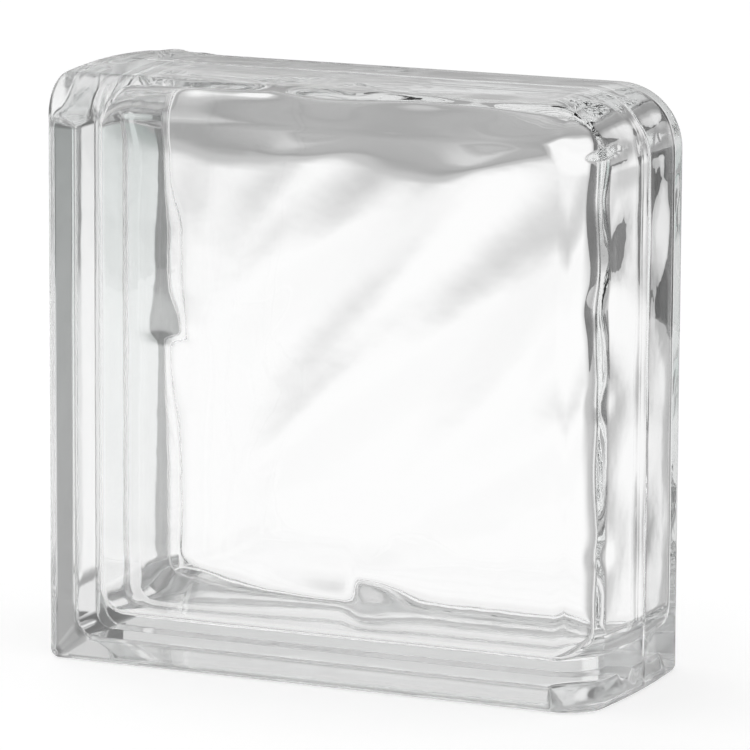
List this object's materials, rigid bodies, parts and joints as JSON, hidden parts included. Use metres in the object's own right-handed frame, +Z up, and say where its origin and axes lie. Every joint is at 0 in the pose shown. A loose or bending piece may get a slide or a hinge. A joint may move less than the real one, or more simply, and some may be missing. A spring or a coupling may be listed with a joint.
{
  "type": "glass block",
  "caption": "Clear hollow glass wall block of the double-end kind: mortar channel on the left and bottom, rounded finished top and right sides, wavy inner faces.",
  "frame": {"origin": "middle of the footprint, on the floor that the block stands on", "axes": "+X across toward the finished right side, +Y through the depth from the front plate to the back plate, +Z up toward the finished top side"},
  "size_m": [0.19, 0.08, 0.19],
  "materials": {
    "clear_glass": "clear fire-polished pressed glass"
  },
  "bodies": {
    "root": {"front_half": "clear_glass", "back_half": "clear_glass"}
  },
  "joints": []
}
